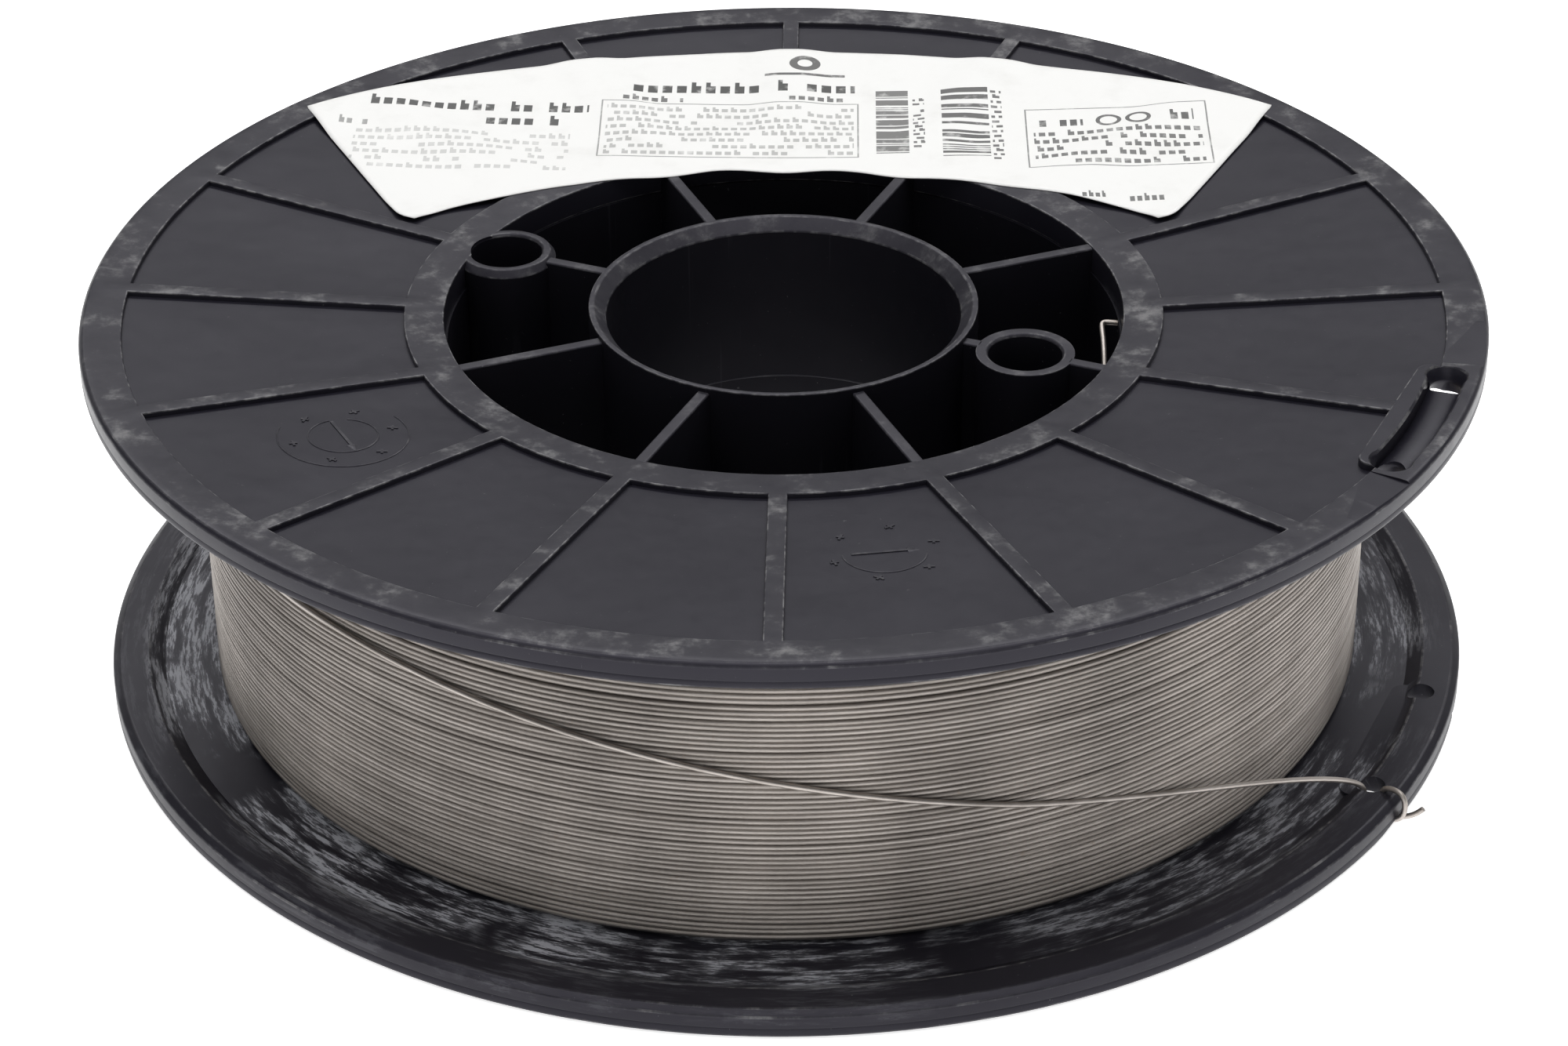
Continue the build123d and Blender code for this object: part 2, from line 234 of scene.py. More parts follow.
def makePlastic(name, smear, wearGain, roughness, depth=1.0):
    # smear is dust dragged round by the wire, and a depth below 1 paints shade on walls that lie deep inside,
    # all but the faces marked raised
    look = plasticLook
    material, tree, shader = newMaterial(name)
    point = millimetres(tree)

    def pattern(kind):
        return noiseNode(tree, point, *look["noise"][kind])

    def ringPattern(kind):
        return ringNoise(tree, point, *look["ringNoise"][kind])

    def fade(value, kind):
        return ramp(tree, value, *look["fade"][kind])

    broad, mottle, patches = pattern("broad"), pattern("mottle"), pattern("patches")
    tone = mixColor(tree, fade(broad, "light"), look["base"], look["light"])
    wearAndLit = addNode(tree, "ShaderNodeAttribute", attribute_name="wearAndLit").outputs["Fac"]
    raised = fade(wearAndLit, "raised")
    shine = look["shine"]
    # painted shade: deep walls are mixed towards black and lose shine, except the faces marked raised
    if depth < 1.0:
        tone = mixColor(tree, mathNode(tree, "ADD", depth, raised, clamp=True), grey(0.0), tone)
        shine = spread(tree, raised, shine * depth, shine)
        # faint drag marks that run up and down the walls
        drag = fade(ringPattern("drag"), "drag")
        tone = mixColor(tree, product(tree, drag, look["dragGain"]), tone, look["raised"])
    tone = mixColor(tree, product(tree, raised, fade(patches, "raisedTone")), tone, look["raised"])

    # rubbed patches on what stands proud, rubbed edges, and specks
    rubbed = product(tree, raised, fade(patches, "rubbed"), fade(mottle, "rubbedMottle"), look["rubbedGain"])
    edges = product(tree, fade(wearAndLit, "edge"), fade(mottle, "edgeMottle"))
    rubbed = product(tree, mathNode(tree, "MAXIMUM", rubbed, edges), wearGain, clamp=True)
    tone = mixColor(tree, rubbed, tone, look["scuff"])
    specks = product(tree, fade(pattern("specks"), "specks"), look["speckGain"])
    tone = mixColor(tree, specks, tone, look["scuff"])

    gloss = spread(tree, mottle, *(roughness + change for change in look["glossRange"]))
    if smear:
        streak = ringPattern("streak")
        dust = product(tree, fade(streak, "streak"), fade(ringPattern("fleck"), "fleck"))
        haze = product(tree, fade(streak, "haze"), look["hazeGain"])
        dust = product(tree, mathNode(tree, "ADD", dust, haze, clamp=True), fade(pattern("cloud"), "cloud"))
        x, _, z = separate(tree, point)
        radius = vectorLength(tree, flatPlace(tree, point))
        onFace = product(tree, mathNode(tree, "GREATER_THAN", z, look["dustFoot"]),
                         mathNode(tree, "GREATER_THAN", radius, look["dustInner"]))
        dust = product(tree, dust, onFace, spread(tree, x, **look["dustSide"]), clamp=True)
        offRim = mathNode(tree, "SUBTRACT", 1.0, product(tree, fade(radius, "rim"), look["rimClean"]))
        dust = product(tree, dust, offRim, smear)
        tone = mixColor(tree, dust, tone, look["smear"])
        gloss = mathNode(tree, "ADD", gloss, product(tree, dust, look["dustGloss"]), clamp=True)

    bump = bumpNode(tree, pattern("grain"), *look["grainBump"])
    bump = bumpNode(tree, broad, *look["broadBump"], under=bump)
    fillInputs(tree, shader, {"Base Color": tone, "Roughness": gloss, "Specular IOR Level": shine,
                              "Specular Tint": look["shineTint"], "Normal": bump})
    return material


steelLook = {
    "bright": grey(0.46, (1.07, 0.985, 0.92)),
    "dull": grey(0.30, (1.08, 0.98, 0.90)),
    "rust": (0.30, 0.22, 0.16, 1.0),
    "rustGain": 0.35,
    "brightFade": (0.32, 0.68),
    "sheenSpread": {"low": 0.3, "high": 0.7},
    "sheenRange": (0.78, 1.22),
    "spots": (0.7, 4.0, 0.6),
    "spotFade": (0.62, 0.80),
    "fine": (2.4, 3.0),
    "glossRange": (-0.07, 0.10),
    "bump": (0.15, 0.00004),
}


def makeSteel(name, banding, roughness, gain):
    # banding is how fast the tone changes from one turn to the next
    look = steelLook
    material, tree, shader = newMaterial(name)
    point = millimetres(tree)
    bands = ringNoise(tree, point, (3.0, 0.3, banding), 4.0, 0.6)
    tone = mixColor(tree, ramp(tree, bands, *look["brightFade"]), look["dull"], look["bright"])
    # painted sheen: the tone grows brighter and darker in broad bands round the axis
    sheen = ringNoise(tree, point, (3.4, 0.0, 0.012), 3.0, 0.6)
    sheen = spread(tree, sheen, *(gain * end for end in look["sheenRange"]), **look["sheenSpread"])
    tone = scaled(tree, tone, sheen)
    spots = ramp(tree, noiseNode(tree, point, *look["spots"]), *look["spotFade"])
    tone = mixColor(tree, product(tree, spots, look["rustGain"]), tone, look["rust"])
    fine = noiseNode(tree, point, *look["fine"])
    gloss = spread(tree, fine, *(roughness + change for change in look["glossRange"]))
    bump = bumpNode(tree, fine, *look["bump"])
    fillInputs(tree, shader, {"Base Color": tone, "Metallic": 1.0, "Roughness": gloss, "Normal": bump})
    return material


blackPlastic = makePlastic("blackPlastic", smear=0.0, wearGain=0.80, roughness=0.34)
dustyPlastic = makePlastic("dustyPlastic", smear=1.0, wearGain=0.75, roughness=0.36)
# hubPlastic paints shade on the hub's deep walls, keeping 0.55 of their tone
hubPlastic = makePlastic("hubPlastic", smear=0.0, wearGain=0.45, roughness=0.42, depth=0.55)
windingSteel = makeSteel("windingSteel", banding=1.7, roughness=0.54, gain=0.86)
tailSteel = makeSteel("tailSteel", banding=0.4, roughness=0.42, gain=1.06)
print("materials: plastic and steel")


# how worn a face is, from none at 0 to a rubbed edge at 1
# in hubPlastic a face at the raised level or above is also kept out of the painted shade, and the mark level
# paints the moulded marks lighter, a painted highlight
wearAndLitLevel = {"raised": 0.3, "ridge": 0.45, "web": 0.6, "rim": 0.6, "mark": 0.62, "lock": 0.8, "edge": 1.0}


# mesh helpers

def wearAndLitMesh():
    bm = bmesh.new()
    return bm, bm.faces.layers.float.new("wearAndLit")


def meshFrom(bm, name):
    mesh = bpy.data.meshes.new(name)
    bm.to_mesh(mesh)
    bm.free()
    return mesh


def addObject(name, data):
    item = bpy.data.objects.new(name, data)
    bpy.context.scene.collection.objects.link(item)
    return item


def spinProfile(bm, points, steps, arc=360.0, closed=True, start=0.0):
    # turns a section, drawn as radius and height, about the spool's axis
    verts = [bm.verts.new(polarPoint(radius, start, height)) for radius, height in points]
    pairs = zip(verts, verts[1:] + verts[:1]) if closed else zip(verts, verts[1:])
    edges = [bm.edges.new(pair) for pair in pairs]
    full = abs(arc - 360.0) < 0.01
    bmesh.ops.spin(bm, geom=verts + edges, cent=(0, 0, 0), axis=(0, 0, 1), angle=math.radians(arc),
                   steps=steps, use_merge=full)


def closeEnds(bm):
    bmesh.ops.holes_fill(bm, edges=[edge for edge in bm.edges if edge.is_boundary], sides=0)


def turnAbout(bm, angle):
    turn = Matrix.Rotation(math.radians(angle), 3, "Z")
    bmesh.ops.rotate(bm, cent=(0, 0, 0), matrix=turn, verts=bm.verts)


def roundEdges(bm, edges, width, wearAndLitLayer=None, segments=2):
    made = bmesh.ops.bevel(bm, geom=edges, offset=width, offset_type="OFFSET", segments=segments,
                           profile=0.5, affect="EDGES", clamp_overlap=True, material=-1)
    if wearAndLitLayer is not None:
        for face in made["faces"]:
            face[wearAndLitLayer] = wearAndLitLevel["edge"]


def markRaised(bm, wearAndLitLayer, least=0.9, where=lambda middle: True):
    # faces that lie flat enough and are less worn so far
    value = wearAndLitLevel["raised"]
    for face in bm.faces:
        if abs(face.normal.z) > least and face[wearAndLitLayer] < value and where(face.calc_center_median()):
            face[wearAndLitLayer] = value


def sharpEdges(bm, least, keep=lambda edge: True):
    found = []
    for edge in bm.edges:
        if len(edge.link_faces) == 2 and edge.calc_face_angle(0.0) > math.radians(least):
            if edge.is_convex and keep(edge):
                found.append(edge)
    return found


def makePiece(bm, name, material, replaced=(), sharp=40.0, weighted=True):
    bmesh.ops.recalc_face_normals(bm, faces=bm.faces)
    bmesh.ops.scale(bm, vec=(mm, mm, mm), verts=bm.verts)
    mesh = meshFrom(bm, name)
    mesh.materials.append(material)
    mesh.shade_smooth()
    if sharp:
        mesh.set_sharp_from_angle(angle=math.radians(sharp))
    piece = addObject(name, mesh)
    if weighted:
        modifier = piece.modifiers.new("evenShading", "WEIGHTED_NORMAL")
        modifier.keep_sharp = True
        modifier.weight = 60
    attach(piece, "root")
    if replaced:
        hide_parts(*replaced)
    return piece


def combine(bm, toolMesh, operation):
    # joins or cuts the body with a tool, both in millimetres
    for solid in (bm, toolMesh):
        bmesh.ops.recalc_face_normals(solid, faces=solid.faces)
    body = addObject("body", meshFrom(bm, "body"))
    tool = addObject("tool", meshFrom(toolMesh, "tool"))
    modifier = body.modifiers.new("cut", "BOOLEAN")
    modifier.operation = operation
    modifier.solver = "EXACT"
    modifier.object = tool
    shaped = body.evaluated_get(bpy.context.evaluated_depsgraph_get()).to_mesh()
    result = bmesh.new()
    result.from_mesh(shaped)
    for item in (body, tool):
        mesh = item.data
        bpy.data.objects.remove(item)
        bpy.data.meshes.remove(mesh)
    return result


def cylinderTool(radius, centre, low, high, steps=48):
    bm = bmesh.new()
    place = Matrix.Translation((centre.x, centre.y, (low + high) / 2))
    bmesh.ops.create_cone(bm, cap_ends=True, segments=steps, radius1=radius, radius2=radius,
                          depth=high - low, matrix=place)
    return bm


flangeShape = {
    "ringRadius": 48.7,
    "ringDepth": 3.0,
    "landRadius": 98.4,
    "edgeRadius": 99.4,
    "pocketInner": 54.4,
    "pocketOuter": 94.0,
    "pocketDepth": 0.8,
    "ribs": 16,
    "ribWidth": 2.6,
    "stepsPerRib": 16,
    "edgeBevel": 0.5,
    "partingHalf": 0.3,
    "partingStep": 0.12,
    "rimTaper": 3.5,
    "rimFoot": 98.9,
    "rimHeight": 4.2,
    "lipFoot": 92.4,
    "lipTop": 94.6,
    "innerDepth": 2.85,
    "innerMiddle": 72.0,
    "innerSlope": 0.071,
    "collarRadius": 50.3,
    "collarDepth": 7.0,
    "edgeRound": 0.22,
    "rimWearFrom": 95.5,
    "driveHoleRadius": 5.27,
}
sector = 360.0 / flangeShape["ribs"]
# slope is how far down the outside of a bush slopes from its brim
outerBush = {"radius": 7.25, "hole": 5.25, "brim": 1.25, "slope": 1.0, "offset": 44.5, "angle": 157.5}
innerBush = {"radius": 7.0, "hole": 5.25, "brim": 1.75, "slope": 0.0, "offset": 37.0, "angle": -22.5}
lockShape = {
    "innerEdge": 90.0,
    "outerEdge": 98.0,
    "halfLength": 15.0,
    "corner": 2.0,
    "topDepth": 0.04,
    "holeRadius": 2.2,
    "mouthRadius": 2.75,
    "outlets": {"upper": 3.1, "lower": 1.95},
    "funnelDepth": 1.9,
    "holeOffset": 95.2,
    "holeAngle": 7.7,
    "slotHalf": 2.45,
    "slotDepth": 2.5,
    "crestDepth": 1.5,
    "lip": 0.3,
    "bossDepth": 3.2,
    "barSteps": 10,
    # how far past the hole each notch starts, in degrees, and how deep it is there
    "notches": {"upper": (2.3, 0.32), "lower": (-0.3, 1.4)},
    "notchRadii": (94.0, 103.0),
    "notchAngle": 7.5,
    "notchFoot": 0.02,
}


def dishDepth(radius):
    shape = flangeShape
    return shape["ringDepth"] * (shape["landRadius"] - radius) / (shape["landRadius"] - shape["ringRadius"])


def innerDepth(radius):
    shape = flangeShape
    return shape["innerDepth"] + shape["innerSlope"] * (shape["lipFoot"] - radius)


def sectorPlace(point):
    # radius, angle, and the angle past the last rib
    angle = math.degrees(math.atan2(point.y, point.x))
    return math.hypot(point.x, point.y), angle, angle % sector


def turnedDisc(partingDepth):
    # the disc as it leaves a lathe, then its ribs squared up and its pockets sunk
    shape = flangeShape
    bm, wearAndLitLayer = wearAndLitMesh()
    profile = [
        (shape["ringRadius"], shape["ringDepth"]),
        (shape["pocketInner"], dishDepth(shape["pocketInner"])),
        (shape["pocketOuter"], dishDepth(shape["pocketOuter"])),
        (shape["landRadius"], 0.0),
        (shape["edgeRadius"], 0.0),
        (flangeRadius, shape["edgeBevel"]),
        (flangeRadius, partingDepth - shape["partingHalf"]),
        (flangeRadius - shape["partingStep"], partingDepth),
        (flangeRadius, partingDepth + shape["partingHalf"]),
        (flangeRadius, shape["rimTaper"]),
        (shape["rimFoot"], shape["rimHeight"]),
        (shape["lipTop"], shape["rimHeight"]),
        (shape["lipFoot"], innerDepth(shape["lipFoot"])),
        (shape["innerMiddle"], innerDepth(shape["innerMiddle"])),
        (shape["collarRadius"], innerDepth(shape["collarRadius"])),
        (shape["collarRadius"], shape["collarDepth"]),
        (shape["ringRadius"], shape["collarDepth"]),
    ]
    spinProfile(bm, profile, shape["ribs"] * shape["stepsPerRib"])

    step = sector / shape["stepsPerRib"]
    for vert in bm.verts:
        radius, angle, local = sectorPlace(vert.co)
        ribEdge = math.degrees(math.asin(shape["ribWidth"] / 2 / radius))
        if step / 2 < local < sector - step / 2:
            share = (local - step) / (sector - 2 * step)
            moved = ribEdge + share * (sector - 2 * ribEdge)
            vert.co = polarPoint(radius, angle - local + moved, vert.co.z)
    bmesh.ops.recalc_face_normals(bm, faces=bm.faces)

    floors = []
    for face in bm.faces:
        middle = face.calc_center_median()
        radius, _, local = sectorPlace(middle)
        onOuter = middle.z < dishDepth(radius) + 0.5
        inRib = min(local, sector - local) < math.degrees(math.asin(shape["ribWidth"] / 2 / radius))
        if onOuter and shape["pocketInner"] < radius < shape["pocketOuter"] and not inRib:
            floors.append(face)
    sunk = bmesh.ops.extrude_face_region(bm, geom=floors)
    sunkVerts = [item for item in sunk["geom"] if isinstance(item, bmesh.types.BMVert)]
    bmesh.ops.translate(bm, vec=(0, 0, shape["pocketDepth"]), verts=sunkVerts)
    bmesh.ops.delete(bm, geom=floors, context="FACES")
    bmesh.ops.recalc_face_normals(bm, faces=bm.faces)
    edges = sharpEdges(bm, 25.0, lambda edge: edge.calc_length() > 0.4)
    roundEdges(bm, edges, shape["edgeRound"], wearAndLitLayer)
    markRaised(bm, wearAndLitLayer, where=lambda middle: middle.z < dishDepth(middle.xy.length) + 0.3)
    for face in bm.faces:
        if face.calc_center_median().xy.length > shape["rimWearFrom"]:
            face[wearAndLitLayer] = min(face[wearAndLitLayer], wearAndLitLevel["rim"])
    return bm


def lockBoss(lockAngle):
    shape = lockShape
    bm, wearAndLitLayer = wearAndLitMesh()
    length = shape["outerEdge"] - shape["innerEdge"]
    middle = (shape["outerEdge"] + shape["innerEdge"]) / 2
    place = Matrix.Translation((middle, 0, shape["bossDepth"] / 2 + shape["topDepth"]))
    scale = Matrix.Diagonal((length, 2 * shape["halfLength"], shape["bossDepth"], 1.0))
    bmesh.ops.create_cube(bm, size=1.0, matrix=place @ scale)
    upright = [edge for edge in bm.edges if abs(edge.verts[0].co.z - edge.verts[1].co.z) > 1.0
               and edge.verts[0].co.x < shape["outerEdge"] - 1.0]
    roundEdges(bm, upright, shape["corner"], None, 8)
    top = [edge for edge in bm.edges if max(vert.co.z for vert in edge.verts) < 0.1]
    roundEdges(bm, top, 0.25, wearAndLitLayer, 2)
    turnAbout(bm, lockAngle)
    return bm


def lockSlotTool(lockAngle):
    # the slot between the two holes: flared mouth, and a rounded bar along its floor
    shape = lockShape
    middle, half, lip = shape["holeOffset"], shape["slotHalf"], shape["lip"]
    section = [(middle - half - lip, -1.0), (middle - half - lip, shape["topDepth"]),
               (middle - half, lip + shape["topDepth"])]
    for number in range(shape["barSteps"] + 1):
        across = 2.0 * number / shape["barSteps"] - 1.0
        height = shape["crestDepth"] + (shape["slotDepth"] - shape["crestDepth"]) * across ** 2
        section.append((middle + half * across, height))
    section += [(middle + half, lip + shape["topDepth"]), (middle + half + lip, shape["topDepth"]),
                (middle + half + lip, -1.0)]
    bm, wearAndLitLayer = wearAndLitMesh()
    spinProfile(bm, section, 24, 2 * shape["holeAngle"], start=lockAngle - shape["holeAngle"])
    closeEnds(bm)
    for face in bm.faces:
        if shape["topDepth"] < face.calc_center_median().z < lip + shape["topDepth"]:
            face[wearAndLitLayer] = wearAndLitLevel["lock"]
    return bm


def lockHoleTool(centre, outlet):
    shape = lockShape
    bm, wearAndLitLayer = wearAndLitMesh()
    top, through = shape["topDepth"], min(outlet, shape["holeRadius"])
    mouth, lip, funnel = shape["mouthRadius"], shape["lip"], shape["funnelDepth"]
    section = [(0.0, -1.0), (mouth + lip, -1.0), (mouth + lip, top), (mouth, top + lip), (through, funnel),
               (through, funnel + 0.6), (outlet, flangeShape["rimHeight"]), (outlet, 6.0), (0.0, 6.0)]
    spinProfile(bm, section, 40, closed=False)
    bmesh.ops.remove_doubles(bm, verts=bm.verts, dist=0.001)
    for face in bm.faces:
        if top < face.calc_center_median().z < top + lip:
            face[wearAndLitLayer] = wearAndLitLevel["lock"]
    bmesh.ops.translate(bm, vec=centre, verts=bm.verts)
    return bm


def lockNotchTool(lockAngle, side, flange):
    # the ramped notch that lets the wire pass under the rim
    shape = lockShape
    bm = bmesh.new()
    near, far = shape["notchRadii"]
    margin, notchDepth = shape["notches"][flange]
    section = [(near, -1.0), (far, -1.0), (far, notchDepth), (near, notchDepth)]
    begin = lockAngle + side * (shape["holeAngle"] + margin)
    spinProfile(bm, section, 10, side * shape["notchAngle"], start=begin)
    closeEnds(bm)
    for vert in bm.verts:
        if vert.co.z > 0:
            angle = math.degrees(math.atan2(vert.co.y, vert.co.x))
            share = abs(angle - begin) / shape["notchAngle"]
            vert.co.z = notchDepth * (1.0 - share) + shape["notchFoot"]
    return bm


def makeFlange(name, node, flange, partingDepth, material):
    lockAngle = lockAngles[flange]
    bm = turnedDisc(partingDepth)
    bm = combine(bm, lockBoss(lockAngle), "UNION")
    bm = combine(bm, lockSlotTool(lockAngle), "DIFFERENCE")
    for side in (-1, 1):
        centre = polarPoint(lockShape["holeOffset"], lockAngle + side * lockShape["holeAngle"])
        bm = combine(bm, lockHoleTool(centre, lockShape["outlets"][flange]), "DIFFERENCE")
        bm = combine(bm, lockNotchTool(lockAngle, side, flange), "DIFFERENCE")
    bushPlace = polarPoint(outerBush["offset"], outerBush["angle"])
    bm = combine(bm, cylinderTool(flangeShape["driveHoleRadius"], bushPlace, -2.0, 12.0), "DIFFERENCE")
    if flange == "upper":
        bmesh.ops.scale(bm, vec=(1, 1, -1), verts=bm.verts)
        bmesh.ops.translate(bm, vec=(0, 0, spoolWidth), verts=bm.verts)
    piece = makePiece(bm, name, material, (node,), sharp=32.0)
    print("flange:", name, len(piece.data.polygons), "faces")


lockAngles = {"upper": -24.0, "lower": -22.7}
makeFlange("upperFlange", "upper_flange", "upper", 2.6, blackPlastic)
makeFlange("lowerFlange", "lower_flange", "lower", 1.6, dustyPlastic)


hubShape = {
    "drumInner": 48.4,
    "boreRadius": 25.5,
    "mouthChamfer": 1.7,
    "partingRidge": 0.14,
    "tubeRound": 0.25,
    "bushRound": 0.15,
    "bushChamfer": (0.3, 0.35),
    "webThickness": 1.8,
    "webRound": 0.3,
    "webSunk": 0.3,
    "webs": 8,
    "firstWeb": 22.5,
    "startHoleAngle": 4.0,
    "startHoleDepth": 8.2,
    "startHoleRadius": 1.1,
}


def mirrored(points):
    # the second half of a section, from the first half's depths
    return points + [(radius, spoolWidth - height) for radius, height in reversed(points)]


def makeDrum():
    shape, disc = hubShape, flangeShape
    bm, _ = wearAndLitMesh()
    collar = disc["collarRadius"]
    outer = mirrored([(collar, innerDepth(collar)), (drumRadius, innerDepth(drumRadius))])
    inner = mirrored([(collar, disc["collarDepth"]), (shape["drumInner"], disc["collarDepth"])])
    half = len(inner) // 2
    section = inner[:half][::-1] + outer + inner[half:][::-1]
    spinProfile(bm, section, 192)
    bushPlace = polarPoint(outerBush["offset"], outerBush["angle"])
    bm = combine(bm, cylinderTool(disc["driveHoleRadius"], bushPlace, -5.0, spoolWidth + 5.0), "DIFFERENCE")
    tool, _ = wearAndLitMesh()
    angle, height = shape["startHoleAngle"], spoolWidth - shape["startHoleDepth"]
    place = Matrix.Translation(polarPoint(drumRadius, angle, height))
    turn = Matrix.Rotation(math.radians(angle), 4, "Z") @ Matrix.Rotation(math.pi / 2, 4, "Y")
    bmesh.ops.create_cone(tool, cap_ends=True, segments=24, radius1=shape["startHoleRadius"],
                          radius2=shape["startHoleRadius"], depth=14.0, matrix=place @ turn)
    bm = combine(bm, tool, "DIFFERENCE")
    # no face of the drum is marked raised, so all of it gets the hub's painted shade
    makePiece(bm, "windingDrum", hubPlastic, ("winding_drum",))


def makeTube():
    shape = hubShape
    bore, chamfer = shape["boreRadius"], shape["mouthChamfer"]
    bm, wearAndLitLayer = wearAndLitMesh()
    ridge, middle = shape["partingRidge"], spoolWidth / 2
    section = mirrored([(bore, tubeDepth + chamfer), (bore + chamfer, tubeDepth), (tubeRadius, tubeDepth)])
    section += [(bore, middle + ridge), (bore - ridge, middle), (bore, middle - ridge)]
    spinProfile(bm, section, 144)
    bmesh.ops.recalc_face_normals(bm, faces=bm.faces)
    roundEdges(bm, sharpEdges(bm, 25.0), shape["tubeRound"], wearAndLitLayer)
    # the rounded edges and the faces that face up enough stay out of the hub's painted shade
    markRaised(bm, wearAndLitLayer, least=0.5)
    # the parting ridge inside the bore stays out of it too, so it shows as a light line within the painted
    # shade
    for face in bm.faces:
        centre = face.calc_center_median()
        if abs(centre.z - middle) < ridge and centre.xy.length < bore:
            face[wearAndLitLayer] = wearAndLitLevel["ridge"]
    makePiece(bm, "hubTube", hubPlastic, ("hub_tube",))


def makeBush(name, node, bush, depth):
    bm, wearAndLitLayer = wearAndLitMesh()
    hole = bush["hole"]
    wide, deep = hubShape["bushChamfer"]
    points = [(hole, depth + deep), (hole + wide, depth), (hole + bush["brim"], depth)]
    if bush["slope"]:
        points.append((bush["radius"], depth + bush["slope"]))
    spinProfile(bm, mirrored(points), 72)
    bmesh.ops.recalc_face_normals(bm, faces=bm.faces)
    roundEdges(bm, sharpEdges(bm, 22.0), hubShape["bushRound"], wearAndLitLayer)
    # the rounded edges and the faces that face up enough stay out of the hub's painted shade
    markRaised(bm, wearAndLitLayer, least=0.3)
    bmesh.ops.translate(bm, vec=polarPoint(bush["offset"], bush["angle"]), verts=bm.verts)
    makePiece(bm, name, hubPlastic, (node,))


def makeWeb(number):
    shape = hubShape
    angle = shape["firstWeb"] + number * 360.0 / shape["webs"]
    # the webs run a little way into what they join
    sunk = shape["webSunk"]
    near, far = tubeRadius - sunk, shape["drumInner"] + sunk
    spans = [(near, far)]
    for bush in (outerBush, innerBush):
        if abs((angle - bush["angle"] + 180.0) % 360.0 - 180.0) < 1.0:
            reach = bush["radius"] - sunk
            spans = [(near, bush["offset"] - reach), (bush["offset"] + reach, far)]
    bm, wearAndLitLayer = wearAndLitMesh()
    for low, high in spans:
        if high - low > 0.5:
            place = Matrix.Translation(((low + high) / 2, 0, spoolWidth / 2))
            scale = Matrix.Diagonal((high - low, shape["webThickness"], spoolWidth - 2 * webDepth, 1.0))
            bmesh.ops.create_cube(bm, size=1.0, matrix=place @ scale)
    outward = [edge for edge in bm.edges if abs(edge.verts[0].co.x - edge.verts[1].co.x) > 0.2]
    roundEdges(bm, outward, shape["webRound"], wearAndLitLayer, 3)
    # the rounded edges are capped at the web level and the flat tops are marked raised, and both stay out of
    # the hub's painted shade
    for face in bm.faces:
        face[wearAndLitLayer] = min(face[wearAndLitLayer], wearAndLitLevel["web"])
    markRaised(bm, wearAndLitLayer)
    turnAbout(bm, angle)
    makePiece(bm, f"hubWeb{number + 1}", hubPlastic, (f"hub_web_{number + 1}",))


makeDrum()
makeTube()
makeBush("driveBushOuter", "drive_bush_outer", outerBush, bushDepth)
makeBush("driveBushInner", "drive_bush_inner", innerBush, webDepth)
for webNumber in range(hubShape["webs"]):
    makeWeb(webNumber)
print("hub: drum, tube, bushes and webs")


windingShape = {
    "turns": 62,
    "stepsPerTurn": 156,
    "sides": 8,
    "pitch": 0.792,
    "lift": 0.06,
    "liftRate": 1.31,
    # how far the turns wander, how often, and which row of the noise it comes from
    "wander": ((0.11, 0.93, 0.0), (0.044, 3.7, 4.0)),
    # where a wider gap opens, counted in turns, and how wide it is
    "openings": ((0.5, 0.05), (12.3, 0.06), (23.85, 0.08), (30.4, 0.06), (36.85, 0.07), (45.85, 0.24),
                 (48.7, 0.14), (50.85, 0.12), (53.3, 0.16), (56.2, 0.10), (59.6, 0.10)),
    "openingLength": 0.8,
    "seed": 11.0,
}


def windingOffset(along):
    # how far a turn lies from its even place: steady drift, small wander, and a few wider gaps
    shape = windingShape
    drift = along * shape["pitch"]
    for where, width in shape["openings"]:
        drift += width * eased((along - where) / shape["openingLength"])
    for size, rate, row in shape["wander"]:
        drift += size * noise.noise(Vector((along * rate, shape["seed"], row)))
    lift = shape["lift"] * noise.noise(Vector((along * shape["liftRate"], shape["seed"] + 5.0, 0.0)))
    return drift, lift


def makeWinding():
    shape = windingShape
    radius = windingRadius - wireRadius - shape["lift"]
    turn = bmesh.new()
    upright = Matrix.Translation((radius, 0, 0)) @ Matrix.Rotation(math.pi / 2, 4, "X")
    ring = bmesh.ops.create_circle(turn, cap_ends=False, segments=shape["sides"], radius=wireRadius,
                                   matrix=upright)
    edges = list({edge for vert in ring["verts"] for edge in vert.link_edges})
    steps = shape["stepsPerTurn"]
    bmesh.ops.spin(turn, geom=ring["verts"] + edges, cent=(0, 0, 0), axis=(0, 0, 1),
                   dvec=(0, 0, 1.0 / steps), angle=2 * math.pi, steps=steps)
    mesh = meshFrom(turn, "turn")
    bm = bmesh.new()
    for _ in range(shape["turns"]):
        bm.from_mesh(mesh)
        mesh.transform(Matrix.Translation((0, 0, 1)))
    bpy.data.meshes.remove(mesh)
    bmesh.ops.remove_doubles(bm, verts=bm.verts, dist=0.001)
    closeEnds(bm)
    # each turn is now one unit above the last; its place is worked out from how far along the wire it is
    for vert in bm.verts:
        angle = math.atan2(vert.co.y, vert.co.x) / (2 * math.pi)
        turn = round(vert.co.z - angle)
        along = turn + angle
        rise = vert.co.z - along
        drift, lift = windingOffset(along)
        outward = Vector((vert.co.x, vert.co.y, 0)).normalized()
        vert.co += outward * lift
        vert.co.z = windingFoot + wireRadius + drift + rise
    piece = makePiece(bm, "outerLayer", windingSteel, ("wire_outer_layer",),
                      sharp=0, weighted=False)
    print("winding:", len(piece.data.polygons), "faces")


makeWinding()


underShape = {
    "pitch": 0.798,
    "depth": 1.75 * wireRadius,
    "ridgeSteps": 4,
}


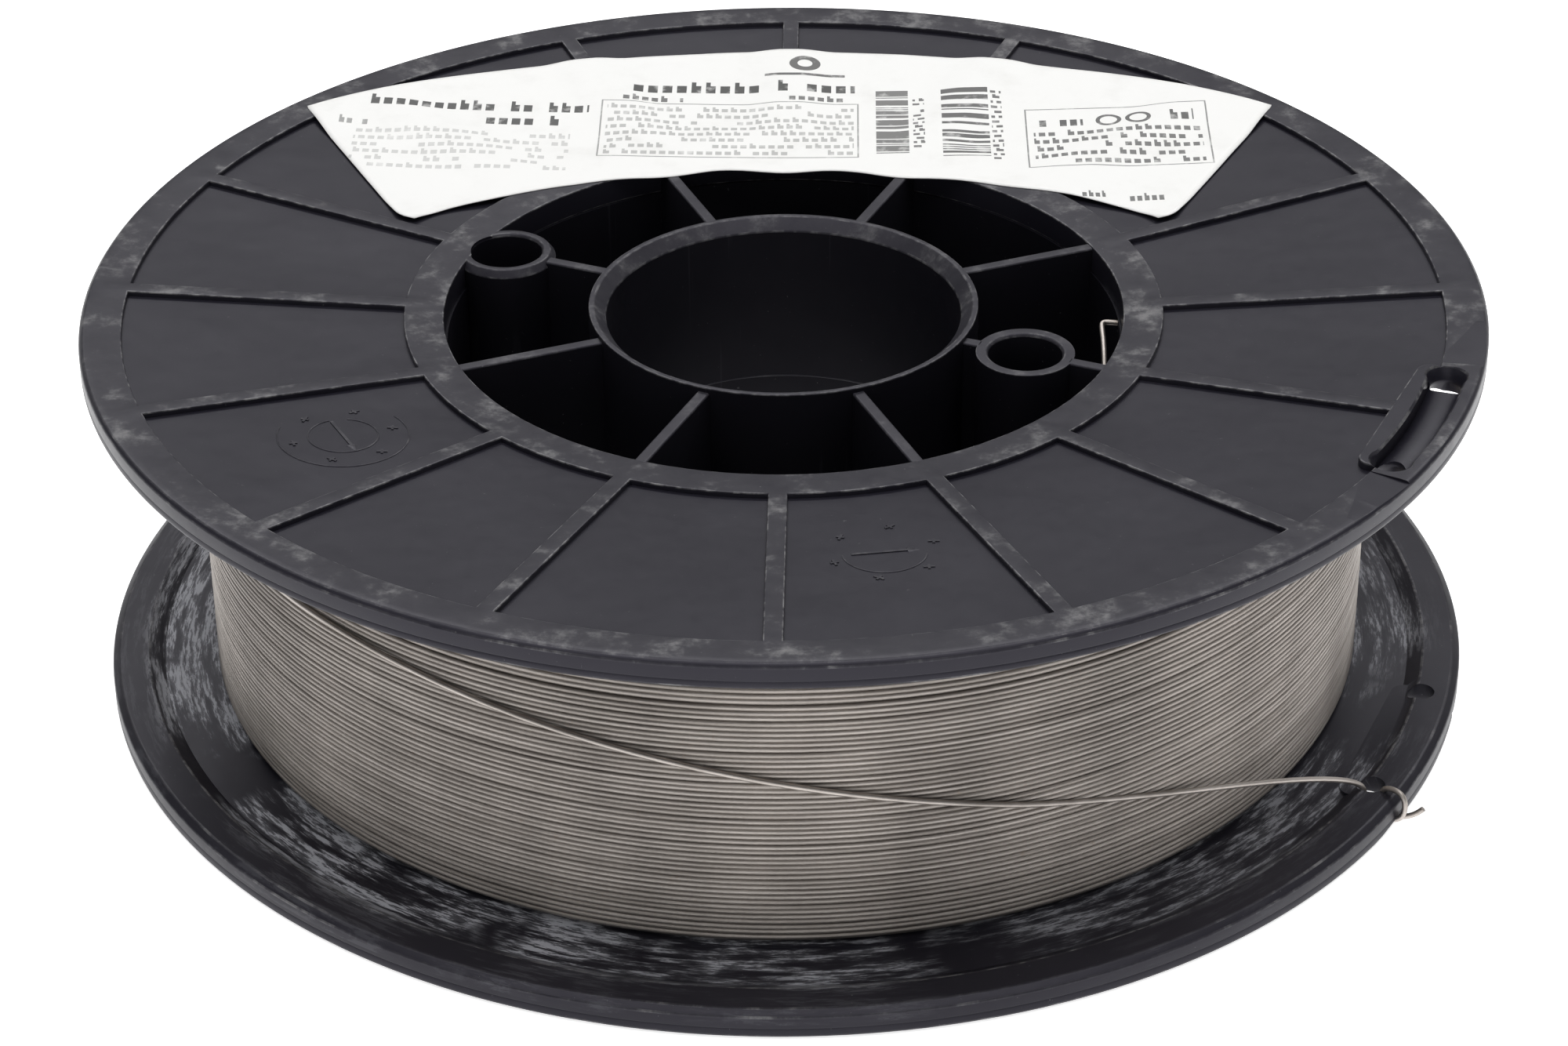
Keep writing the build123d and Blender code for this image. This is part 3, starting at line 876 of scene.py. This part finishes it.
def makeUnderLayer():
    # the layer below, seen only through the gaps, as ridges that lie between the turns above
    shape = underShape
    pitch, steps = shape["pitch"], shape["ridgeSteps"]
    centre = windingRadius - shape["depth"] - wireRadius
    turns = int((spoolWidth - 2 * windingFoot) / pitch)
    ridge = [(centre + wireRadius * math.cos(swing), pitch / 2 * math.sin(swing))
             for swing in (math.pi * (part / steps - 0.5) for part in range(steps + 1))]
    section = [(drumRadius, windingFoot)]
    for turn in range(turns):
        middle = windingFoot + (turn + 0.5) * pitch
        shown = ridge if turn == turns - 1 else ridge[:-1]
        section += [(radius, middle + height) for radius, height in shown]
    section.append((drumRadius, spoolWidth - windingFoot))
    bm = bmesh.new()
    spinProfile(bm, section, 128)
    makePiece(bm, "underLayer", windingSteel, ("wire_pack",), sharp=50.0, weighted=False)


makeUnderLayer()
print("layer below")


tailShape = {
    "startAngle": -228.0,
    "leaveAngle": -57.2,
    "stepAngle": 12.2,
    "clearance": 0.04,
    "level": 38.3,
    "fallFrom": -129.0,
    "earlyFall": 0.02,
    "fall": (0.145, 0.00198),
    # radius, degrees past the lock's first hole, and height
    "lockRoute": (
        (94.2, -0.7, 6.9),
        (95.3, -0.95, 0.62),
        (101.0, -1.0, 0.62),
        (101.0, -0.75, 5.2),
        (96.9, -0.35, 5.0),
        (96.9, -0.2, 0.62),
        (101.4, -0.2, 0.62),
        (103.0, 0.15, 2.6),
    ),
}


def tailHeight(angle):
    shape = tailShape
    past = angle - shape["fallFrom"]
    if past < 0:
        return shape["level"] - shape["earlyFall"] * past
    first, second = shape["fall"]
    return shape["level"] - first * past - second * past ** 2


def makeWireCurve(name, points, node, material):
    curve = bpy.data.curves.new(name, "CURVE")
    curve.dimensions = "3D"
    spline = curve.splines.new("NURBS")
    spline.points.add(len(points) - 1)
    for item, point in zip(spline.points, points):
        item.co = (point.x * mm, point.y * mm, point.z * mm, 1.0)
    spline.order_u = 3
    spline.use_endpoint_u = True
    spline.resolution_u = 10
    curve.bevel_depth = wireRadius * mm
    curve.bevel_resolution = 4
    curve.use_fill_caps = True
    curve.materials.append(material)
    piece = addObject(name, curve)
    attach(piece, "root")
    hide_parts(node)


def makeTail():
    shape = tailShape
    radius = windingRadius + wireRadius + shape["clearance"]
    turn = shape["leaveAngle"] - shape["startAngle"]
    steps = math.ceil(turn / shape["stepAngle"])
    half = turn / steps / 2
    points = [polarPoint(radius, shape["startAngle"], tailHeight(shape["startAngle"]))]
    for step in range(steps):
        angle = shape["startAngle"] + (2 * step + 1) * half
        points.append(polarPoint(radius / math.cos(math.radians(half)), angle, tailHeight(angle)))
    lockHole = lockAngles["lower"] - lockShape["holeAngle"]
    for radius, turned, height in shape["lockRoute"]:
        points.append(polarPoint(radius, lockHole + turned, height))
    makeWireCurve("wireTail", points, "wire_tail", tailSteel)


def makeStart():
    shape = hubShape
    height = spoolWidth - shape["startHoleDepth"]
    angle = shape["startHoleAngle"]
    points = [
        polarPoint(drumRadius - 0.2, angle, height),
        polarPoint(48.6, angle + 0.4, height + 0.05),
        polarPoint(46.9, angle + 0.9, height + 0.1),
        polarPoint(46.2, angle + 0.5, height + 0.05),
        polarPoint(46.1, angle - 1.2, height - 0.3),
        polarPoint(46.2, angle - 5.0, height - 1.3),
        polarPoint(46.4, -7.4, height - 2.4),
    ]
    makeWireCurve("wireStart", points, "wire_start", tailSteel)


makeTail()
makeStart()
print("free wire end and wire start")


labelShape = {
    "halfTop": 76.0,
    "halfBottom": 57.5,
    "topY": 84.2,
    "topCornerY": 61.5,
    "bottomY": 44.0,
    "bottomCornerY": 26.0,
    "topCorner": 1.3,
    "bottomCorner": 2.6,
    "thickness": 0.12,
    "edgeWave": 1.3,
    "lift": 0.03,
    "sag": 0.55,
    "sagAcross": 6.0,
    "sagAlong": 7.0,
    "ripple": 0.10,
    "rippleScale": 0.10,
    "columns": 170,
    "rows": 60,
}


def arcHeight(x, half, middleY, endY):
    # height of an arch through its two ends and its middle
    rise = middleY - endY
    radius = (half ** 2 + rise ** 2) / (2 * rise)
    return middleY - radius + math.sqrt(radius ** 2 - x ** 2)


def labelHeight(x, y):
    # the paper lies on the ribs and the ring, and sinks a little over each pocket
    shape, disc = labelShape, flangeShape
    radius, _, local = sectorPlace(Vector((x, y)))
    lateral = radius * math.sin(math.radians(min(local, sector - local))) - disc["ribWidth"] / 2
    fromEnds = min(radius - disc["pocketInner"], disc["pocketOuter"] - radius)
    share = eased(lateral / shape["sagAcross"]) * eased(fromEnds / shape["sagAlong"])
    place = Vector((x, y, 0.0)) * shape["rippleScale"] + Vector((0.0, 0.0, 3.0))
    ripple = shape["ripple"] * noise.noise(place) * share
    depth = dishDepth(radius) + shape["sag"] * share - ripple
    return spoolWidth - depth + shape["lift"]


def makeLabel():
    shape = labelShape
    bm = bmesh.new()
    bmesh.ops.create_grid(bm, x_segments=shape["columns"], y_segments=shape["rows"], size=1.0)
    for vert in bm.verts:
        u, v = vert.co.x, (vert.co.y + 1.0) / 2.0
        topX, bottomX = shape["halfTop"] * u, shape["halfBottom"] * u
        topY = arcHeight(topX, shape["halfTop"], shape["topY"], shape["topCornerY"])
        bottomY = arcHeight(bottomX, shape["halfBottom"], shape["bottomY"], shape["bottomCornerY"])
        bottomY += shape["edgeWave"] * noise.noise(Vector((bottomX * 0.09, 7.0, 1.5))) * (1.0 - abs(u) ** 6)
        # the corners are rounded by pulling the ends of the rows in
        span = math.hypot(topX - bottomX, topY - bottomY)
        corner = shape["topCorner"] if v > 0.5 else shape["bottomCorner"]
        fromEnd = min(v, 1.0 - v) * span
        pull = 0.0
        if fromEnd < corner:
            pull = corner - math.sqrt(corner ** 2 - (corner - fromEnd) ** 2)
        x = bottomX + (topX - bottomX) * v
        y = bottomY + (topY - bottomY) * v
        inset = 1.0 - pull / shape["halfTop"] * abs(u) ** 12
        vert.co = Vector((x * inset, y, 0.0))
    for vert in bm.verts:
        vert.co.z = labelHeight(vert.co.x, vert.co.y)
    piece = makePiece(bm, "label", labelPaper, ("label",), sharp=0, weighted=False)
    paper = piece.modifiers.new("paperThickness", "SOLIDIFY")
    paper.thickness = shape["thickness"] * mm
    paper.offset = 1.0


# the print is plain dashes, bars and frames, and spells nothing
labelPrint = {
    "blocks": (
        {"x": (-65.8, -31.5), "y": (62.1, 66.5), "rows": 1, "dash": 2.0, "ink": 0.90},
        {"x": (-63.4, -36.0), "y": (57.7, 62.0), "rows": 1, "dash": 2.0, "ink": 0.90},
        {"x": (-70.2, -63.6), "y": (56.2, 59.2), "rows": 1, "dash": 1.2, "ink": 0.60},
        {"x": (-67.5, -34.0), "y": (42.6, 56.0), "rows": 6, "dash": 1.5, "ink": 0.30},
        {"x": (-24.8, 10.4), "y": (69.3, 74.2), "rows": 1, "dash": 2.3, "ink": 0.92},
        {"x": (-26.3, -16.8), "y": (66.5, 69.2), "rows": 1, "dash": 1.5, "ink": 0.80},
        {"x": (0.0, 8.6), "y": (66.6, 69.2), "rows": 1, "dash": 1.5, "ink": 0.80},
        {"x": (-28.6, 10.2), "y": (48.6, 65.6), "rows": 8, "dash": 1.45, "ink": 0.44},
        {"x": (19.5, 21.3), "y": (50.8, 68.2), "rows": 13, "dash": 1.8, "ink": 0.80},
        {"x": (31.8, 33.5), "y": (46.6, 70.0), "rows": 15, "dash": 1.7, "ink": 0.82},
        {"x": (39.2, 46.0), "y": (57.0, 61.2), "rows": 1, "dash": 1.6, "ink": 0.88},
        {"x": (59.6, 63.2), "y": (57.0, 61.4), "rows": 1, "dash": 1.7, "ink": 0.88},
        {"x": (38.2, 64.2), "y": (44.2, 56.6), "rows": 5, "dash": 1.5, "ink": 0.80},
        {"x": (44.7, 48.2), "y": (33.4, 36.4), "rows": 1, "dash": 1.0, "ink": 0.80},
        {"x": (51.8, 58.0), "y": (31.9, 35.1), "rows": 1, "dash": 1.1, "ink": 0.80},
    ),
    "frames": (
        {"x": (-29.6, 11.0), "y": (48.0, 66.4), "ink": 0.62},
        {"x": (37.0, 65.4), "y": (43.6, 63.4), "ink": 0.70},
    ),
    "frameLine": 0.25,
    # share is how much of a run of bars is black
    "barRuns": (
        {"x": (13.7, 18.8), "y": (49.2, 70.6), "bar": 0.30, "share": 0.66, "ink": 0.78},
        {"x": (24.0, 31.4), "y": (48.0, 70.4), "bar": 0.38, "share": 0.52, "ink": 0.86},
    ),
    # a ring over a bar, and two plain rings, in place of marks
    "rings": (
        {"centre": (2.4, 79.4), "radii": (1.2, 2.5)},
        {"centre": (50.0, 59.0), "radii": (1.35, 2.0)},
        {"centre": (54.6, 59.0), "radii": (1.35, 2.0)},
    ),
    "markBar": {"x": (-4.0, 8.8), "y": (75.3, 76.1)},
    "markInk": 0.85,
    # what a dash fills of its own place, and how much of that its taller part takes
    "dashFill": (0.78, 0.8),
    "dashLow": {"x": (0.0, 0.86), "y": (0.05, 0.66)},
    "dashTall": {"x": (0.0, 0.40), "y": (0.05, 0.98)},
    "rowShift": 0.37,
    "blockShift": 40.0,
    "wordLength": 4.0,
    # seed, and the share of places left out
    "tallChance": (5.9, 0.66),
    "dashChance": (9.1, 0.12),
    "wordChance": (12.3, 0.10),
}
paperLook = {
    "clean": grey(0.84, (1.0, 0.997, 0.98)),
    "stained": grey(0.62, (1.0, 0.985, 0.94)),
    "ink": grey(0.02),
    "stain": (0.09, 5.0, 0.65),
    "stainFade": (0.48, 0.80),
    "stainGain": 0.30,
    "inkNoise": (0.35, 4.0, 0.6),
    "inkFade": (0.30, 0.48),
    "inkRange": (0.55, 1.0),
    "fibre": (7.0, 3.0),
    "fibreBump": (0.12, 0.00004),
    "roughness": 0.55,
    "shine": 0.30,
}


def makeLabelPaper():
    look, layout = paperLook, labelPrint
    material, tree, shader = newMaterial("labelPaper")
    point = millimetres(tree)
    x, y, _ = separate(tree, point)

    def inside(value, low, high):
        return mathNode(tree, "COMPARE", value, (low + high) / 2, (high - low) / 2)

    def block(spec, inset=0.0, across=x, up=y):
        (left, right), (bottom, top) = spec["x"], spec["y"]
        return product(tree, inside(across, left + inset, right - inset),
                       inside(up, bottom + inset, top - inset))

    def chance(across, up, seed, leftOut):
        place = combined(tree, across, up, seed)
        value = addNode(tree, "ShaderNodeTexWhiteNoise", {"Vector": place}).outputs[0]
        return mathNode(tree, "GREATER_THAN", value, leftOut)

    # where each point lies in its own block, counted in dashes across and rows up
    across, up, shade = 0.0, 0.0, 0.0
    for number, spec in enumerate(layout["blocks"]):
        mask = block(spec)
        start = layout["blockShift"] * number - spec["x"][0] / spec["dash"]
        here = mathNode(tree, "MULTIPLY_ADD", x, 1.0 / spec["dash"], start)
        scale = spec["rows"] / (spec["y"][1] - spec["y"][0])
        there = mathNode(tree, "MULTIPLY_ADD", y, scale, -spec["y"][0] * scale)
        across = mathNode(tree, "MULTIPLY_ADD", mask, here, across)
        up = mathNode(tree, "MULTIPLY_ADD", mask, there, up)
        shade = mathNode(tree, "MULTIPLY_ADD", mask, spec["ink"], shade)
    row = mathNode(tree, "FLOOR", up)
    across = mathNode(tree, "MULTIPLY_ADD", row, layout["rowShift"], across)
    column = mathNode(tree, "FLOOR", across)
    word = mathNode(tree, "FLOOR", mathNode(tree, "DIVIDE", column, layout["wordLength"]))
    width, height = layout["dashFill"]
    u = mathNode(tree, "DIVIDE", mathNode(tree, "FRACT", across), width)
    v = mathNode(tree, "MULTIPLY_ADD", mathNode(tree, "FRACT", up), 1.0 / height, (height - 1.0) / 2 / height)
    low = block(layout["dashLow"], across=u, up=v)
    tall = product(tree, block(layout["dashTall"], across=u, up=v),
                   chance(column, row, *layout["tallChance"]))
    ink = product(tree, mathNode(tree, "MAXIMUM", low, tall), chance(column, row, *layout["dashChance"]),
                  chance(word, row, *layout["wordChance"]), shade)

    marks = [product(tree, block(layout["markBar"]), layout["markInk"])]
    for spec in layout["frames"]:
        line = mathNode(tree, "SUBTRACT", block(spec), block(spec, inset=layout["frameLine"]))
        marks.append(product(tree, line, spec["ink"]))
    for spec in layout["barRuns"]:
        number = mathNode(tree, "FLOOR", mathNode(tree, "DIVIDE", y, spec["bar"]))
        value = addNode(tree, "ShaderNodeTexWhiteNoise", {"W": number}, noise_dimensions="1D").outputs[0]
        black = mathNode(tree, "LESS_THAN", value, spec["share"])
        marks.append(product(tree, block(spec), black, spec["ink"]))
    for spec in layout["rings"]:
        centreX, centreY = spec["centre"]
        away = vectorLength(tree, combined(tree, mathNode(tree, "SUBTRACT", x, centreX),
                                           mathNode(tree, "SUBTRACT", y, centreY)))
        marks.append(product(tree, inside(away, *spec["radii"]), layout["markInk"]))
    for mark in marks:
        ink = mathNode(tree, "MAXIMUM", ink, mark)
    faded = ramp(tree, noiseNode(tree, point, *look["inkNoise"]), *look["inkFade"])
    ink = product(tree, ink, spread(tree, faded, *look["inkRange"]))

    stain = ramp(tree, noiseNode(tree, point, *look["stain"]), *look["stainFade"])
    paper = mixColor(tree, product(tree, stain, look["stainGain"]), look["clean"], look["stained"])
    tone = mixColor(tree, ink, paper, look["ink"])
    bump = bumpNode(tree, noiseNode(tree, point, *look["fibre"]), *look["fibreBump"])
    fillInputs(tree, shader, {"Base Color": tone, "Roughness": look["roughness"],
                              "Specular IOR Level": look["shine"], "Normal": bump})
    return material


labelPaper = makeLabelPaper()
makeLabel()
print("label")


# moulded marks on two pocket floors: rings as radius, start and sweep, with an arrow and crosses
markShape = {
    "line": 0.22,
    "height": 0.12,
    "sunk": 0.3,
    "shaft": (7.6, 0.42),
    "headPlace": 3.8,
    "headRadius": 0.75,
    "headLength": 1.6,
    "headFlat": 0.18,
    "places": (
        {"centre": (-59.0, -39.4), "rings": ((4.75, 120.0, 330.0), (8.9, 170.0, 235.0)), "arrow": -62.0},
        {"centre": (13.9, -69.6), "rings": ((5.5, 190.0, 165.0),), "arrow": 9.0},
    ),
    "crosses": 6,
    "crossOffset": 7.0,
    "firstCross": 24.0,
    "crossLean": 37.0,
    "crossBars": ((1.5, 0.34), (0.34, 1.1)),
}


def makeMark(place):
    shape = markShape
    half, height, sunk = shape["line"] / 2, shape["height"], shape["sunk"]
    bm = bmesh.new()
    for radius, start, arc in place["rings"]:
        section = [(radius - half, -sunk), (radius - half, height * 0.6), (radius, height),
                   (radius + half, height * 0.6), (radius + half, -sunk)]
        spinProfile(bm, section, 40, arc, start=start)
        closeEnds(bm)
    turn = Matrix.Rotation(math.radians(place["arrow"]), 4, "Z")
    shaft = Matrix.Translation((-0.5, 0, 0)) @ Matrix.Diagonal((*shape["shaft"], 2 * height, 1.0))
    bmesh.ops.create_cube(bm, size=1.0, matrix=turn @ shaft)
    flat = Matrix.Diagonal((1, 1, shape["headFlat"], 1)) @ Matrix.Rotation(math.pi / 2, 4, "Y")
    head = turn @ Matrix.Translation((shape["headPlace"], 0, 0)) @ flat
    bmesh.ops.create_cone(bm, cap_ends=True, segments=12, radius1=shape["headRadius"], radius2=0.05,
                          depth=shape["headLength"], matrix=head)
    for number in range(shape["crosses"]):
        angle = shape["firstCross"] + number * 360.0 / shape["crosses"]
        spot = Matrix.Translation(polarPoint(shape["crossOffset"], angle))
        lean = Matrix.Rotation(math.radians(shape["crossLean"] * number), 4, "Z")
        for bar in shape["crossBars"]:
            size = Matrix.Diagonal((*bar, 2 * height, 1.0))
            bmesh.ops.create_cube(bm, size=1.0, matrix=spot @ lean @ size)
    # the mark follows the slope of the pocket's floor
    for vert in bm.verts:
        vert.co += Vector((*place["centre"], 0.0))
        vert.co.z += spoolWidth - dishDepth(vert.co.xy.length) - flangeShape["pocketDepth"]
    return bm


def makeMarks():
    bm, wearAndLitLayer = wearAndLitMesh()
    for place in markShape["places"]:
        mesh = meshFrom(makeMark(place), "mark")
        bm.from_mesh(mesh)
        bpy.data.meshes.remove(mesh)
    # the marks are set to the mark level, which paints them lighter than the pocket floor, a painted
    # highlight on the raised lines
    for face in bm.faces:
        face[wearAndLitLayer] = wearAndLitLevel["mark"]
    makePiece(bm, "mouldMarks", blackPlastic, weighted=False)


makeMarks()
print("moulded marks")


studio = {
    "floorTone": grey(0.94),
    "floorGlow": 0.72,
    "floorRoughness": 0.9,
    "floorSize": 4.0,
    "world": 0.22,
    "lamps": (
        {"name": "topLight", "place": (0.0, -0.05, 1.30), "size": (1.5, 1.1), "power": 13.5},
        {"name": "backLight", "place": (0.15, 1.11, 1.13), "size": (2.2, 0.30), "power": 10.5},
        {"name": "frontLight", "place": (0.0, -1.50, 0.45), "size": (1.6, 0.7), "power": 3.0},
        {"name": "leftLight", "place": (-1.20, -0.30, 0.45), "size": (0.8, 0.8), "power": 0.5},
        {"name": "rightLight", "place": (1.20, -0.25, 0.45), "size": (0.8, 0.8), "power": 0.6},
    ),
}
cameraView = {
    "distance": 580.8,
    "height": 27.5,
    "elevation": 30.05,
    "azimuth": -89.0,
    "roll": -0.479,
    "lens": 90.64,
    "shiftX": -0.0005,
    "shiftY": -0.0366,
}


def makeStudio():
    floor = bmesh.new()
    bmesh.ops.create_grid(floor, x_segments=1, y_segments=1, size=studio["floorSize"])
    mesh = meshFrom(floor, "floor")
    material, tree, shader = newMaterial("floorPaint")
    fillInputs(tree, shader, {"Base Color": studio["floorTone"], "Roughness": studio["floorRoughness"],
                              "Emission Color": grey(1.0), "Emission Strength": studio["floorGlow"]})
    mesh.materials.append(material)
    addObject("floor", mesh)

    world = bpy.data.worlds.new("studioWorld")
    world.use_nodes = True
    background = world.node_tree.nodes["Background"]
    background.inputs["Color"].default_value = grey(1.0)
    background.inputs["Strength"].default_value = studio["world"]
    bpy.context.scene.world = world

    aim = Vector((0, 0, spoolWidth / 2 * mm))
    for lamp in studio["lamps"]:
        data = bpy.data.lights.new(lamp["name"], "AREA")
        data.shape = "RECTANGLE"
        data.size, data.size_y = lamp["size"]
        data.energy = lamp["power"]
        light = addObject(lamp["name"], data)
        light.location = lamp["place"]
        light.rotation_euler = (aim - light.location).to_track_quat("-Z", "Y").to_euler()


def makeCamera():
    view = cameraView
    data = bpy.data.cameras.new("camera")
    data.lens = view["lens"]
    data.sensor_width = 36.0
    data.shift_x, data.shift_y = view["shiftX"], view["shiftY"]
    data.clip_start = 0.01
    camera = addObject("camera", data)
    lift = math.radians(view["elevation"])
    place = polarPoint(view["distance"] * math.cos(lift), view["azimuth"],
                       view["height"] + view["distance"] * math.sin(lift))
    aim = Vector((0, 0, view["height"]))
    roll = Matrix.Rotation(math.radians(view["roll"]), 3, "Z")
    turn = (aim - place).to_track_quat("-Z", "Y").to_matrix() @ roll
    camera.matrix_world = Matrix.Translation(place * mm) @ turn.to_4x4()
    bpy.context.scene.camera = camera


makeStudio()
makeCamera()
bpy.context.scene.view_settings.view_transform = "Standard"
print("floor, light and camera")
